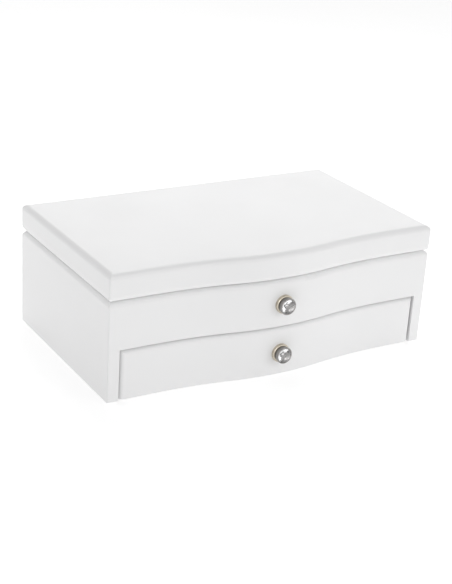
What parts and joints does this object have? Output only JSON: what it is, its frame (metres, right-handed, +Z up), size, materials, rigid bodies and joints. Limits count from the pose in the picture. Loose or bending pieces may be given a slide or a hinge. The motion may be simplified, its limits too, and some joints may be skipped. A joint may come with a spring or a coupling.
{
  "type": "jewellery chest with drawer",
  "caption": "Serpentine-fronted jewellery chest with a hinged mirror lid over a lined tray, a fixed false drawer front and a sliding drawer below, with crystal knobs.",
  "frame": {"origin": "on the surface the chest stands on, under the middle of its box, knobs included", "axes": "+X towards the chest's right-hand side, +Y towards its back, +Z up"},
  "size_m": [0.29, 0.182, 0.1041],
  "materials": {
    "white_lacquer": "satin white lacquer over fibreboard",
    "backing_board": "plain hardboard",
    "drawer_wood": "pale sanded plywood",
    "velour": "soft short-pile velour over card and foam",
    "foot_felt": "pressed felt",
    "mirror": "silvered glass with bevelled edges",
    "hinge_nickel": "nickel plate",
    "knob_nickel": "warm satin nickel",
    "knob_chrome": "polished",
    "crystal": "cut and polished"
  },
  "bodies": {
    "chest": {"back_panel": "white_lacquer", "bottom_board": "backing_board", "cell_divider_1": "velour", "cell_divider_2": "velour", "chest_hinge_leaf_left": "hinge_nickel", "chest_hinge_leaf_right": "hinge_nickel", "chest_hinge_screws": "hinge_nickel", "foot_pad_back_left": "foot_felt", "foot_pad_back_right": "foot_felt", "foot_pad_front_left": "foot_felt", "foot_pad_front_right": "foot_felt", "front_fascia": "white_lacquer", "hinge_pin_left": "hinge_nickel", "hinge_pin_right": "hinge_nickel", "left_side_panel": "white_lacquer", "long_divider": "velour", "right_side_panel": "white_lacquer", "ring_roll_1": "velour", "ring_roll_2": "velour", "ring_roll_3": "velour", "ring_roll_4": "velour", "ring_roll_5": "velour", "ring_roll_6": "velour", "ring_roll_7": "velour", "ring_section_divider": "velour", "tray_floor": "backing_board", "tray_lining_back": "velour", "tray_lining_floor": "velour", "tray_lining_front": "velour", "tray_lining_left": "velour", "tray_lining_right": "velour", "upper_knob_base": "knob_nickel", "upper_knob_bezel": "knob_chrome", "upper_knob_crystal": "crystal", "upper_knob_screw": "hinge_nickel"},
    "lid": {"lid_back_rail": "white_lacquer", "lid_front_rail": "white_lacquer", "lid_hinge_leaf_left": "hinge_nickel", "lid_hinge_leaf_right": "hinge_nickel", "lid_hinge_screws": "hinge_nickel", "lid_left_rail": "white_lacquer", "lid_lining": "velour", "lid_mirror": "mirror", "lid_right_rail": "white_lacquer", "lid_top_board": "white_lacquer"},
    "drawer": {"drawer_back": "drawer_wood", "drawer_bottom": "backing_board", "drawer_divider": "velour", "drawer_front": "white_lacquer", "drawer_left_side": "drawer_wood", "drawer_lining_back": "velour", "drawer_lining_floor": "velour", "drawer_lining_front": "velour", "drawer_lining_left": "velour", "drawer_lining_right": "velour", "drawer_right_side": "drawer_wood", "lower_knob_base": "knob_nickel", "lower_knob_bezel": "knob_chrome", "lower_knob_crystal": "crystal", "lower_knob_screw": "hinge_nickel"}
  },
  "joints": [
    {"name": "lid_hinge", "type": "hinge", "parent": "chest", "child": "lid", "pos_m": [0, 0.08705, 0.0823], "axis": [-1, 0, 0], "range_deg": [0, 98]},
    {"name": "drawer_slide", "type": "slide", "parent": "chest", "child": "drawer", "axis": [0, -1, 0], "range_m": [0, 0.11]}
  ]
}
